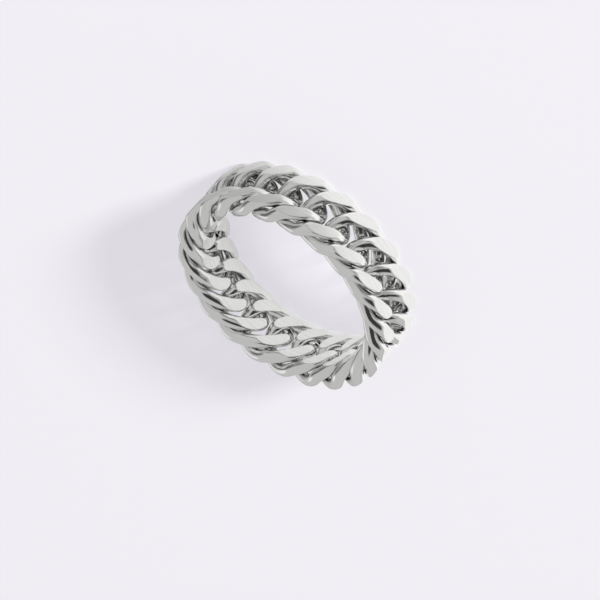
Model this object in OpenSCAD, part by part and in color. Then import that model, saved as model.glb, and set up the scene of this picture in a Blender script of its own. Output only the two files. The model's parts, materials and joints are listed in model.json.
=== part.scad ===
// Chain link ring: equal links of round wire that run right round the finger, with no clasp.
// Each link is a twisted oval that passes through the next two links on either side, so the
// wire lies three deep along both rims. The outer and the inner wall are filed to a cylinder,
// which leaves a flat on each strand that comes up to a wall.
// The ring lies on its side. Z is the finger's axis, and the origin is the middle of the circle
// that the ring rests on. Sizes are in millimetres.

/* [Chain] */
// Number of links round the ring, which sets the finger size
link_count = 22; // [19:1:26]
// Diameter of the wire that the links are bent from
wire_d = 1.31; // [1.2:0.01:1.45]
// Space left in each half step of the chain beside one wire
wire_gap = 0.2; // [0.16:0.01:0.3]

/* [Band] */
// Width of the band, from rim to rim
band_w = 6.6; // [6:0.1:7.5]
// Depth filed off the links on the outer wall
outer_cut = 0.45; // [0.1:0.05:0.6]
// Depth filed off the links on the inner wall
inner_cut = 0.43; // [0.1:0.01:0.6]

/* [Facets] */
// Straight pieces that a link's wire is drawn with, once round the link
link_steps = 16; // [14:2:24]
// Sides of the wire
wire_sides = 6; // [5:1:8]

/* [Hidden] */

// A link spans about two and a half steps of the chain, so that every third link lies end to
// end, with room for one wire and its gap in each half step.
pitch = 2 * (wire_d + wire_gap);
link_l = 2.47 * pitch;
mid_r = link_count * pitch / (2 * PI);

// The oval: a third harmonic squares its ends and draws its long sides to the rims
end_square = 0.15;
rim_point = 0.05;
// The oval lies aslant: its sides are drawn along the chain, its ends across it
side_slant = 0.174 * pitch;
side_curl = 0.065 * pitch;
end_skew = 0.119;

// How far the wire swings out of and into the middle cylinder, to let its neighbours past, and
// how it leaves the walls: later on one side of each crest, rounder, and set a little inwards
swing = 0.644 * (wire_d + wire_gap);
swing_late = 0.25;
swing_round = 0.1;
swing_inset = 0.083;

// Middle of the wire at turn t of the link: how far along the chain, across it and outwards
function along(t) = link_l / 2 * (cos(t) + end_square * cos(3 * t)) / (1 + end_square)
    - side_slant * sin(t) - side_curl * sin(3 * t);
function across_share(t) = sin(t) + rim_point * sin(3 * t) + end_skew * cos(t);
function outwards(t) =
    swing * (sin(2 * t) + swing_late * sin(4 * t) - swing_round * cos(4 * t) - swing_inset);

// The wire's furthest reach to a rim and the turn where it gets there, and its reach to the
// outer and the inner wall
rim_reach = max([for (t = [0 : 359]) across_share(t)]);
rim_turn = [for (t = [0 : 359]) if (across_share(t) == rim_reach) t][0];
outer_reach = max([for (t = [0 : 359]) outwards(t)]);
inner_reach = -min([for (t = [0 : 359]) outwards(t)]);
function across(t) = (band_w - wire_d) / 2 * across_share(t) / rim_reach;
outer_r = mid_r + outer_reach + wire_d / 2 - outer_cut;
inner_r = mid_r - inner_reach - wire_d / 2 + inner_cut;

// The same point on the ring, and the way straight out of the ring there
function bearing(t) = -along(t) / mid_r * 180 / PI;
function straight_out(t) = [cos(bearing(t)), sin(bearing(t)), 0];
function wire_middle(t) =
    (mid_r + outwards(t)) * straight_out(t) + [0, 0, band_w / 2 + across(t)];

function unit(v) = v / norm(v);

// A point outside either wall is filed back to it.
function filed(p) =
    let (r = norm([p.x, p.y]), kept = min(max(r, inner_r), outer_r) / r)
    [p.x * kept, p.y * kept, p.z];

// The wire's section at turn t, with one side of it facing straight out of the ring
function section(t) =
    let (
        ahead = unit(wire_middle(t + 1) - wire_middle(t - 1)),
        side = unit(cross(ahead, straight_out(t))),
        up = cross(side, ahead)
    )
    [for (j = [0 : wire_sides - 1])
        let (turn = (j + 0.5) * 360 / wire_sides)
        filed(wire_middle(t) + wire_d / 2 * (cos(turn) * up + sin(turn) * side))];

// The first section stands at a rim, and so does the one half way round, so that the ring is as
// wide as band_w and rests on the surface.
link_points =
    [for (i = [0 : link_steps - 1]) each section(rim_turn + i * 360 / link_steps)];

// Corner j of section i, with both counted round
function corner(i, j) = (i % link_steps) * wire_sides + j % wire_sides;

link_faces = [for (i = [0 : link_steps - 1], j = [0 : wire_sides - 1])
    each [
        [corner(i, j), corner(i + 1, j + 1), corner(i, j + 1)],
        [corner(i, j), corner(i + 1, j), corner(i + 1, j + 1)]
    ]];

module link(number)
    rotate([0, 0, number * 360 / link_count])
        color("silver")
            polyhedron(points = link_points, faces = link_faces, convexity = 6);

for (i = [0 : link_count - 1])
    link(i);
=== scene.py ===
import json
import math

import bmesh
import bpy
from mathutils import Matrix, Vector, kdtree


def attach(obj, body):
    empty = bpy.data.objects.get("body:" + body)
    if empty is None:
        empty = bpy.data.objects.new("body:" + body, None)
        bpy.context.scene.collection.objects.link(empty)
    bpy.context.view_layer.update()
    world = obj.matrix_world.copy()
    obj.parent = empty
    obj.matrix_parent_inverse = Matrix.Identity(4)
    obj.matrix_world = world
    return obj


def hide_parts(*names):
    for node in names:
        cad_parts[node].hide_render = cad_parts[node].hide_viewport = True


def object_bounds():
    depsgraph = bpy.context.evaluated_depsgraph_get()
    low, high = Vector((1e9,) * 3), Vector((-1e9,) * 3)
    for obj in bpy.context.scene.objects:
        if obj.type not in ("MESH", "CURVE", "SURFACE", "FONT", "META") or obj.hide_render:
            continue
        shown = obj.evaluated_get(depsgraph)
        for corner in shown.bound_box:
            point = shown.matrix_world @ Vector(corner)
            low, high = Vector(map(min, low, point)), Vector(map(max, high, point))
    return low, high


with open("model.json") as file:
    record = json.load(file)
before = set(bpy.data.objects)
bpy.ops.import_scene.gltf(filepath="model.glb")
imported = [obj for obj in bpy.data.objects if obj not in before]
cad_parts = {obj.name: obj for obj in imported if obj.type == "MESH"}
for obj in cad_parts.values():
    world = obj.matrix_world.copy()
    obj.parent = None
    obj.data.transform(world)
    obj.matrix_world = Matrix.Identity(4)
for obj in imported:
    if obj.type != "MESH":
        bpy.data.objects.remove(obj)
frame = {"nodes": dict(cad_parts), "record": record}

cad_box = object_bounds()
MM = 0.001

# The ring, in millimetres. The band's width and its inner wall come from the frame, and the
# other sizes are those of the part's source.
link_names = sorted(name for name in frame["nodes"] if name.startswith("link_"))
link_count = len(link_names)
band_w = (cad_box[1].z - cad_box[0].z) / MM
inner_r = frame["record"]["mounts"][0]["dims"]["r_mm"]
wire_d = 1.31
wire_r = wire_d / 2
wire_gap = 0.2
outer_cut = 0.45

# One link: the step between links, the link's length, and the middle circle of the band
pitch = 2 * (wire_d + wire_gap)
link_l = 2.47 * pitch
mid_r = link_count * pitch / (2 * math.pi)

# The oval: a third harmonic squares its ends and draws its long sides to the rims
end_square = 0.15
rim_point = 0.05
# The oval lies aslant: its sides are drawn along the chain, its ends across it
side_slant = 0.174 * pitch
side_curl = 0.065 * pitch
end_skew = 0.119

# How far the wire swings out of and into the middle circle, and how it leaves the walls: later
# on one side of each crest, rounder, and set a little inwards
swing = 0.644 * (wire_d + wire_gap)
swing_late = 0.25
swing_round = 0.1
swing_inset = 0.083

# How finely the wire is drawn, and how far ahead on a link's turn, in radians, it is looked at
# for its direction
wire_sides = 56
link_steps = 144
near_turn = 0.01

# Soft facets that drawing and hand polishing leave along the wire: how deep, as a share of its
# radius, how many round it, how far they wander from side to side along the link, in radians,
# and how far round the fine ones start
broad_facet, broad_facets, broad_wander = 0.009, 6, 1.3
fine_facet, fine_facets, fine_wander = 0.005, 11, 0.8
fine_start = 1

# How softly polishing has rounded the edge of each flat
edge_soft = 0.03
# How near the next wire the painted crevice shade begins
crevice_reach = 0.36
# How far in from the middle circle the painted shade is at its least, and the share of the outer
# half's painted crevice shade that is left there; the drawing lines keep none of theirs there
inner_shade_fade = 0.5
inner_shade_share = 0.5
# How far the drawing lines' pattern drifts along the link, in radii of the wire: the less it
# drifts, the longer the lines
line_draw = 0.3


def along(turn):
    """The wire's place along the chain at this turn of the link."""
    oval = (math.cos(turn) + end_square * math.cos(3 * turn)) / (1 + end_square)
    return link_l / 2 * oval - side_slant * math.sin(turn) - side_curl * math.sin(3 * turn)


def across_share(turn):
    """The wire's place across the band, before it is fitted to the band's width."""
    return math.sin(turn) + rim_point * math.sin(3 * turn) + end_skew * math.cos(turn)


def outwards(turn):
    """How far the wire stands out of the middle circle."""
    return swing * (math.sin(2 * turn) + swing_late * math.sin(4 * turn)
                    - swing_round * math.cos(4 * turn) - swing_inset)


whole_turns = [math.radians(degree) for degree in range(360)]
rim_reach = max(across_share(turn) for turn in whole_turns)
outer_r = mid_r + max(outwards(turn) for turn in whole_turns) + wire_r - outer_cut


def wire_middle(turn):
    """Middle of link_01's wire at this turn of the link, in millimetres."""
    across = (band_w - wire_d) / 2 * across_share(turn) / rim_reach
    bearing = -along(turn) / mid_r
    reach = mid_r + outwards(turn)
    return Vector((reach * math.cos(bearing), reach * math.sin(bearing), band_w / 2 + across))


def wire_station(turn):
    """Sets a circle across the wire at this turn, its X axis as near to outwards as it can be."""
    here = wire_middle(turn)
    ahead = (wire_middle(turn + near_turn) - wire_middle(turn - near_turn)).normalized()
    side = ahead.cross(Vector((here.x, here.y, 0))).normalized()
    up = side.cross(ahead)
    turned = Matrix((up, side, ahead)).transposed()
    return Matrix.Translation(here) @ turned.to_4x4()


def step_turn(step):
    """The turn of the link at which this section of its wire stands."""
    return step * 2 * math.pi / link_steps


def held_between(least, value, most):
    """The value, or the nearer of the two ends where it lies outside them."""
    return min(max(value, least), most)


def extruded_to(bm, edges, move):
    """Draws the open end of the tube on by one section, and gives back its new end."""
    grown = bmesh.ops.extrude_edge_only(bm, edges=edges)["geom"]
    corners = [g for g in grown if isinstance(g, bmesh.types.BMVert)]
    bmesh.ops.transform(bm, matrix=move, verts=corners)
    kept = set(corners)
    return [g for g in grown if isinstance(g, bmesh.types.BMEdge) and set(g.verts) <= kept]


def drawn_loop(bm):
    """Extrudes a circle of wire round the link, joins it to its start, and gives its sections."""
    station = wire_station(0)
    bmesh.ops.create_circle(bm, segments=wire_sides, radius=wire_r, matrix=station)
    start = bm.edges[:]
    end = start
    sections = [bm.verts[:]]
    for step in range(1, link_steps):
        following = wire_station(step_turn(step))
        end = extruded_to(bm, end, following @ station.inverted())
        station = following
        sections.append({corner for edge in end for corner in edge.verts})
    bmesh.ops.bridge_loops(bm, edges=start + end)
    return sections


def add_facets(corners, turn):
    """Gives one section of the wire its shallow facets."""
    middle = wire_middle(turn)
    station = wire_station(turn).to_3x3()
    for corner in corners:
        out = corner.co - middle
        round_wire = math.atan2(out.dot(station.col[1]), out.dot(station.col[0]))
        broad = math.cos(broad_facets * round_wire + broad_wander * math.sin(turn))
        fine = math.cos(fine_facets * round_wire + fine_start - fine_wander * math.sin(2 * turn))
        corner.co = middle + out * (1 + broad_facet * broad + fine_facet * fine)


def mark_lines(bm, corners, turn):
    """Keeps at each corner its place on the wire, so that lines can run along the wire."""
    drawn_lines = bm.verts.layers.float_vector["drawn_lines"]
    middle = wire_middle(turn)
    station = wire_station(turn).to_3x3()
    for corner in corners:
        out = (corner.co - middle) / wire_r
        corner[drawn_lines] = (out.dot(station.col[0]), out.dot(station.col[1]),
                               line_draw * math.sin(turn))


def mark_flats(bm):
    """Keeps at each corner whether the file takes it off: 1 on a flat, 0 on the round of the wire."""
    flat = bm.verts.layers.float["flat"]
    for corner in bm.verts:
        reach = math.hypot(corner.co.x, corner.co.y)
        proud = max(reach - outer_r, inner_r - reach)
        corner[flat] = held_between(0, proud / edge_soft, 1)


def softer_of(a, b):
    """The lesser of two lengths, eased from one to the other over a few hundredths of a millimetre."""
    return min(a, b) - edge_soft * math.log1p(math.exp(-abs(a - b) / edge_soft))


def filed(point):
    """The point, brought back to the filed wall that it stands proud of."""
    reach = math.hypot(point.x, point.y)
    kept = softer_of(reach, outer_r)
    kept = -softer_of(-kept, -inner_r)
    share = kept / reach
    return Vector((point.x * share, point.y * share, point.z))


def outer_share(corner):
    """1 on the outer half of the band, falling to 0 in its inner half, where less painted shade is
    laid.
    """
    reach = math.hypot(corner.co.x, corner.co.y)
    return held_between(0, (reach - mid_r) / inner_shade_fade + 1, 1)


def mark_line_shade_depth(bm):
    """Keeps at each corner how far in from the outer wall and the rims it lies, in millimetres,
    falling to 0 in the inner half; the deeper it lies, the darker the drawing lines are painted, as
    painted shade."""
    line_shade_depth = bm.verts.layers.float["line_shade_depth"]
    for corner in bm.verts:
        reach = math.hypot(corner.co.x, corner.co.y)
        depth = min(outer_r - reach, corner.co.z, band_w - corner.co.z)
        corner[line_shade_depth] = depth * outer_share(corner)


def neighbours_wire():
    """A search tree over the middle of the wire of the three links on either side of link_01."""
    marks = 240
    neighbours = (-3, -2, -1, 1, 2, 3)
    near = kdtree.KDTree(len(neighbours) * marks)
    for steps in neighbours:
        carried = Matrix.Rotation(steps * 2 * math.pi / link_count, 3, "Z")
        for mark in range(marks):
            near.insert(carried @ wire_middle(mark * 2 * math.pi / marks), 0)
    near.balance()
    return near


def mark_crevices(bm):
    """Keeps at each corner how deep in a crevice it is: 1 against the next wire, 0 in the open,
    less in the inner half. It sets the painted crevice shade and roughness.
    """
    near = neighbours_wire()
    crevice = bm.verts.layers.float["crevice"]
    for corner in bm.verts:
        gap = near.find(corner.co)[2] - wire_r
        depth = held_between(0, (crevice_reach - gap) / crevice_reach, 1)
        corner[crevice] = depth * (inner_shade_share + (1 - inner_shade_share) * outer_share(corner))


def draw_link():
    """link_01, in metres: its wire drawn and faceted, then filed at both walls."""
    bm = bmesh.new()
    bm.verts.layers.float_vector.new("drawn_lines")
    for kept in ("flat", "line_shade_depth", "crevice"):
        bm.verts.layers.float.new(kept)
    for step, corners in enumerate(drawn_loop(bm)):
        add_facets(corners, step_turn(step))
        mark_lines(bm, corners, step_turn(step))
    mark_flats(bm)
    for corner in bm.verts:
        corner.co = filed(corner.co)
    mark_line_shade_depth(bm)
    mark_crevices(bm)
    bmesh.ops.recalc_face_normals(bm, faces=bm.faces)
    bmesh.ops.scale(bm, vec=(MM, MM, MM), verts=bm.verts)
    for face in bm.faces:
        face.smooth = True
    return bm


def linear(value):
    """An sRGB hex colour as the linear colour that a shader socket takes."""
    parts = [int(value[i:i + 2], 16) / 255 for i in (1, 3, 5)]
    return [p / 12.92 if p <= 0.04045 else ((p + 0.055) / 1.055) ** 2.4 for p in parts] + [1]


def add_node(tree, kind, settings, sockets):
    """Adds one shader node with its settings, and sets each socket to a value or links it."""
    node = tree.nodes.new(kind)
    for name, value in settings.items():
        setattr(node, name, value)
    for name, value in sockets.items():
        if isinstance(value, bpy.types.NodeSocket):
            tree.links.new(value, node.inputs[name])
        else:
            node.inputs[name].default_value = value
    return node


def object_place(tree):
    """The place on the ring, in metres, which patterns are laid on."""
    return add_node(tree, "ShaderNodeTexCoord", {}, {}).outputs["Object"]


def kept_mark(tree, name, output="Fac"):
    """What a mark_ function has kept at each corner."""
    return add_node(tree, "ShaderNodeAttribute", {"attribute_name": name}, {}).outputs[output]


def noise(tree, place, scale, detail, roughness):
    """Soft noise round a half, with this many finer layers and this share of each in the next."""
    return add_node(tree, "ShaderNodeTexNoise", {}, {
        "Vector": place, "Scale": scale, "Detail": detail, "Roughness": roughness}).outputs["Fac"]


def mapped(tree, value, start, end, low, high, easing="LINEAR"):
    """Runs from low, where the value is at start or before it, to high, at end or past it."""
    return add_node(tree, "ShaderNodeMapRange", {"interpolation_type": easing}, {
        "Value": value, "From Min": start, "From Max": end,
        "To Min": low, "To Max": high}).outputs["Result"]


def eased(tree, value, start, end, low, high):
    """The same as mapped, with a soft start and end."""
    return mapped(tree, value, start, end, low, high, "SMOOTHSTEP")


def added(tree, share, amount, base):
    """The base, and the amount times this share of it on top."""
    return add_node(tree, "ShaderNodeMath", {"operation": "MULTIPLY_ADD"},
                    {0: share, 1: amount, 2: base}).outputs["Value"]


def mixed(tree, share, low, high):
    """One number where the share is 0, the other where it is 1."""
    return add_node(tree, "ShaderNodeMix", {"data_type": "FLOAT"},
                    {0: share, 2: low, 3: high}).outputs[0]


def mixed_colour(tree, share, low, high):
    """One colour where the share is 0, the other where it is 1."""
    return add_node(tree, "ShaderNodeMix", {"data_type": "RGBA"},
                    {0: share, 6: low, 7: high}).outputs[2]


# Colours: white light, the silver on the buffed round of the wire and on the filed flats, and the
# painted shade in the crevices
white = "#ffffff"
round_tone = "#eeeeed"
flat_tone = "#ebebe9"
painted_crevice_shade = "#3a3938"
# How deep in a crevice its painted shade begins to show, and where it shows in full
crevice_begins, crevice_full = 0.15, 0.95

# Size of the patches of faint haze, and how rough a mirror they leave, from least to most
haze_mm = 1.5
least_haze, most_haze = 0.03, 0.1
# How much rougher than that a crevice and a filed flat are
crevice_rough = 0.06
flat_rough = 0.2

# Drawing lines along the wire: how wide one is, how deep, and the tone that they leave on the
# open metal, and deep in from the walls, where they are painted darker as painted shade. Real
# ones are finer, and these are as coarse as they need to be to show.
line_mm = wire_r / 7
line_deep_mm = 0.02
line_relief = 0.5
open_line_tone = 0.94
deep_line_shade = 0.42
# Depth in from the wall, in millimetres, at which that tone begins, and where it is full
lines_begin, lines_full = 0.35, 0.95
# Levels of the noise that give the heart of a line, and the clear metal between lines
line_heart, line_clear = 0.40, 0.52

# File marks on the flats, also coarser than real ones so that they show: how long and how wide a
# stroke is, its tone, and the levels of the noise that give its heart and the clear metal
stroke_long_mm = 4
stroke_wide_mm = 0.13
stroke_tone = 0.91
stroke_heart, stroke_clear = 0.35, 0.6


def line_shade(tree, lines):
    """The tone of the drawing lines along the round of the wire, painted darker deep in from the
    walls as painted shade: 1 between the lines.
    """
    line_tone = eased(tree, kept_mark(tree, "line_shade_depth"), lines_begin, lines_full,
                      open_line_tone, deep_line_shade)
    return mapped(tree, lines, line_heart, line_clear, line_tone, 1.0)


def stroke_shade(tree, place):
    """The tone of the file's strokes, which run level round the band: 1 between the strokes."""
    stroke_long, stroke_wide = stroke_long_mm * MM, stroke_wide_mm * MM
    stretched = add_node(tree, "ShaderNodeMapping", {}, {
        "Vector": place, "Scale": (1 / stroke_long, 1 / stroke_long, 1 / stroke_wide)})
    strokes = noise(tree, stretched.outputs["Vector"], scale=1.0, detail=3.0, roughness=0.7)
    return mapped(tree, strokes, stroke_heart, stroke_clear, stroke_tone, 1.0)


def polished_silver():
    """Rhodium-plated sterling silver, buffed on a mop: to the eye a nearly white mirror with a faint
    haze, satin on the filed flats, with fine dark lines along the wire, painted darker deep in from
    the walls as painted shade, and grey painted shade in the crevices between wires."""
    material = bpy.data.materials.new("buffed_rhodium_plated_silver")
    material.use_nodes = True
    tree = material.node_tree
    tree.nodes.clear()
    place = object_place(tree)
    filed_flat = kept_mark(tree, "flat")
    crevice = eased(tree, kept_mark(tree, "crevice"), crevice_begins, crevice_full, 0.0, 1.0)
    clean = mixed_colour(tree, filed_flat, linear(round_tone), linear(flat_tone))
    # The crevices' grey is painted shade, laid over the clean silver near the next wire
    tone = mixed_colour(tree, crevice, clean, linear(painted_crevice_shade))

    lines = noise(tree, kept_mark(tree, "drawn_lines", "Vector"), scale=wire_r / line_mm,
                  detail=4.0, roughness=0.65)
    shade = mixed(tree, filed_flat, line_shade(tree, lines), stroke_shade(tree, place))
    shaded = add_node(tree, "ShaderNodeVectorMath", {"operation": "SCALE"}, {0: tone, "Scale": shade})
    relief = add_node(tree, "ShaderNodeBump", {}, {
        "Height": lines, "Strength": line_relief, "Distance": line_deep_mm * MM})

    patches = noise(tree, place, scale=1 / (haze_mm * MM), detail=3.0, roughness=0.5)
    haze = mapped(tree, patches, 0.0, 1.0, least_haze, most_haze)
    rough = added(tree, filed_flat, flat_rough, added(tree, crevice, crevice_rough, haze))
    shader = add_node(tree, "ShaderNodeBsdfPrincipled", {}, {
        "Metallic": 1.0, "Base Color": shaded.outputs["Vector"],
        "Roughness": rough, "Normal": relief.outputs["Normal"]})
    add_node(tree, "ShaderNodeOutputMaterial", {}, {"Surface": shader.outputs["BSDF"]})
    return material


def place_links():
    """A copy of the drawn link for each node, turned to its place in its own mesh."""
    silver = polished_silver()
    drawn = draw_link()
    for number, name in enumerate(link_names):
        turned = drawn.copy()
        turn = Matrix.Rotation(number * 2 * math.pi / link_count, 3, "Z")
        bmesh.ops.rotate(turned, cent=(0, 0, 0), matrix=turn, verts=turned.verts)
        mesh = bpy.data.meshes.new("polished_" + name)
        turned.to_mesh(mesh)
        turned.free()
        mesh.materials.append(silver)
        piece = bpy.data.objects.new("polished_" + name, mesh)
        bpy.context.scene.collection.objects.link(piece)
        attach(piece, "root")
        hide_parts(name)
    drawn.free()


# The photograph's frame, the place of the ring's middle in it, and its scale there
frame_px = 600
middle_px = Vector((296.34, 275.95))
px_per_mm = 10.366
# The photograph's view, in degrees round from +X and above the floor. Up the finger's axis runs
# down and to the left in the picture, so the camera is rolled.
camera_side = -80.36
camera_height = 33.99
camera_roll = -139.21
# The camera's distance from the ring's middle and the width of its sensor, in millimetres
camera_reach = 693.5
sensor_w = 36.0


def direction(side, height):
    """The way to a place in the studio, in degrees round from the camera and above the floor."""
    turn = math.radians(camera_side + side)
    rise = math.radians(height)
    return Vector((math.cos(rise) * math.cos(turn), math.cos(rise) * math.sin(turn), math.sin(rise)))


def place_camera():
    """The camera, with the lens and shift that give the photograph's frame."""
    centre = Vector((0, 0, band_w / 2)) * MM
    back = direction(0, camera_height)
    level = Vector((0, 0, 1)).cross(back).normalized()
    rise = back.cross(level)
    roll = math.radians(camera_roll)
    right = level * math.cos(roll) + rise * math.sin(roll)
    up = back.cross(right)
    data = bpy.data.cameras.new("camera")
    data.sensor_width = sensor_w
    frame_w = frame_px / px_per_mm
    data.lens = sensor_w * camera_reach / frame_w
    data.shift_x = (frame_px / 2 - middle_px.x) / frame_px
    data.shift_y = (middle_px.y - frame_px / 2) / frame_px
    data.clip_start = 0.01
    data.clip_end = 10
    camera = bpy.data.objects.new("camera", data)
    camera.matrix_world = (Matrix.Translation(centre + back * camera_reach * MM)
                           @ Matrix((right, up, back)).transposed().to_4x4())
    bpy.context.scene.collection.objects.link(camera)
    bpy.context.scene.camera = camera


# The floor: a card so wide, in metres, that no view sees its edge. It glows with painted light,
# as no lamp is under it. The metal sees a painted white pool of light on it that fades to grey,
# its middle under the ring's right side in the picture.
floor_half = 3.0
card_tone = "#959595"
card_rough = 0.9
pool_middle_mm = direction(-62, 0) * 9
pool_bright_mm, pool_fades_mm = 13, 25
pool_glow, far_glow = 0.765, 0.225
# The camera sees it as an even pale lilac backdrop, with a little more glow inside the ring,
# where the links would shade it.
backdrop_tone = "#faf5ff"
hole_glow, backdrop_glow = 0.745, 0.606
hole_bright_mm, hole_fades_mm = 2, 12


def painted_glow_card():
    """Matt white card that glows with painted light: to the eye a pale, even and shadow-soft ground.
    """
    material = bpy.data.materials.new("matt_white_card_painted_glow")
    material.use_nodes = True
    tree = material.node_tree
    tree.nodes.clear()
    place = object_place(tree)
    to_pool = add_node(tree, "ShaderNodeVectorMath", {"operation": "DISTANCE"},
                       {0: place, 1: pool_middle_mm * MM}).outputs["Value"]
    to_middle = add_node(tree, "ShaderNodeVectorMath", {"operation": "LENGTH"},
                         {0: place}).outputs["Value"]
    pool = eased(tree, to_pool, pool_bright_mm * MM, pool_fades_mm * MM, pool_glow, far_glow)
    backdrop = eased(tree, to_middle, hole_bright_mm * MM, hole_fades_mm * MM,
                     hole_glow, backdrop_glow)
    seen = add_node(tree, "ShaderNodeLightPath", {}, {}).outputs["Is Camera Ray"]
    shader = add_node(tree, "ShaderNodeBsdfPrincipled", {}, {
        "Base Color": linear(card_tone), "Roughness": card_rough, "Specular IOR Level": 0.0,
        "Emission Strength": mixed(tree, seen, pool, backdrop),
        "Emission Color": mixed_colour(tree, seen, linear(white), linear(backdrop_tone))})
    add_node(tree, "ShaderNodeOutputMaterial", {}, {"Surface": shader.outputs["BSDF"]})
    return material


def place_floor():
    """The floor, which the ring rests on at height 0."""
    bm = bmesh.new()
    bmesh.ops.create_grid(bm, x_segments=1, y_segments=1, size=floor_half)
    mesh = bpy.data.meshes.new("floor")
    bm.to_mesh(mesh)
    bm.free()
    mesh.materials.append(painted_glow_card())
    floor = bpy.data.objects.new("floor", mesh)
    bpy.context.scene.collection.objects.link(floor)


# The tent's even light, and what soft-edged cards in it add to that or take from it. Each has
# its place, the cosine of the angle from there to its edge and to its full strength, and its
# change: a black card high on the picture's right, for the dark wedges, two dimmer ones low down,
# towards the camera and on the picture's left, for the greys, and a bright one across from the
# camera, for the glints.
tent_light = 0.585
tent_cards = (
    (direction(-44, 42), 0.82, 0.89, -0.54),
    (direction(8, 0), 0.93, 0.98, -0.30),
    (direction(112, 4), 0.80, 0.94, -0.44),
    (direction(152, 26), 0.96, 0.98, 0.32),
)


def place_tent():
    """White tent walls all round, with the cards that give the metal its darks and glints."""
    world = bpy.data.worlds.new("tent")
    world.use_nodes = True
    tree = world.node_tree
    tree.nodes.clear()
    looked = add_node(tree, "ShaderNodeTexCoord", {}, {}).outputs["Generated"]
    light = tent_light
    for way, edge, full, change in tent_cards:
        facing = add_node(tree, "ShaderNodeVectorMath", {"operation": "DOT_PRODUCT"},
                          {0: looked, 1: way}).outputs["Value"]
        cover = eased(tree, facing, edge, full, 0.0, 1.0)
        light = added(tree, cover, change, light)
    walls = add_node(tree, "ShaderNodeBackground", {}, {"Color": linear(white), "Strength": light})
    add_node(tree, "ShaderNodeOutputWorld", {}, {"Surface": walls.outputs["Background"]})
    bpy.context.scene.world = world


# The key, a low softbox that the metal doesn't show: where it stands, how far off in metres, its
# size and its power. It gives the ring its soft shadow, to the left and a little down in the
# picture.
key_way = direction(-16, 14)
key_reach = 3.0
key_size = 0.4
key_power = 200.0


def place_key():
    """The softbox, turned to face the ring."""
    data = bpy.data.lights.new("key", "AREA")
    data.shape = "SQUARE"
    data.size = key_size
    data.energy = key_power
    key = bpy.data.objects.new("key", data)
    key.location = key_way * key_reach
    key.rotation_mode = "QUATERNION"
    key.rotation_quaternion = key_way.to_track_quat("Z", "Y")
    key.visible_glossy = False
    bpy.context.scene.collection.objects.link(key)


place_links()
place_camera()
place_floor()
place_tent()
place_key()
bpy.context.scene.view_settings.view_transform = "Standard"
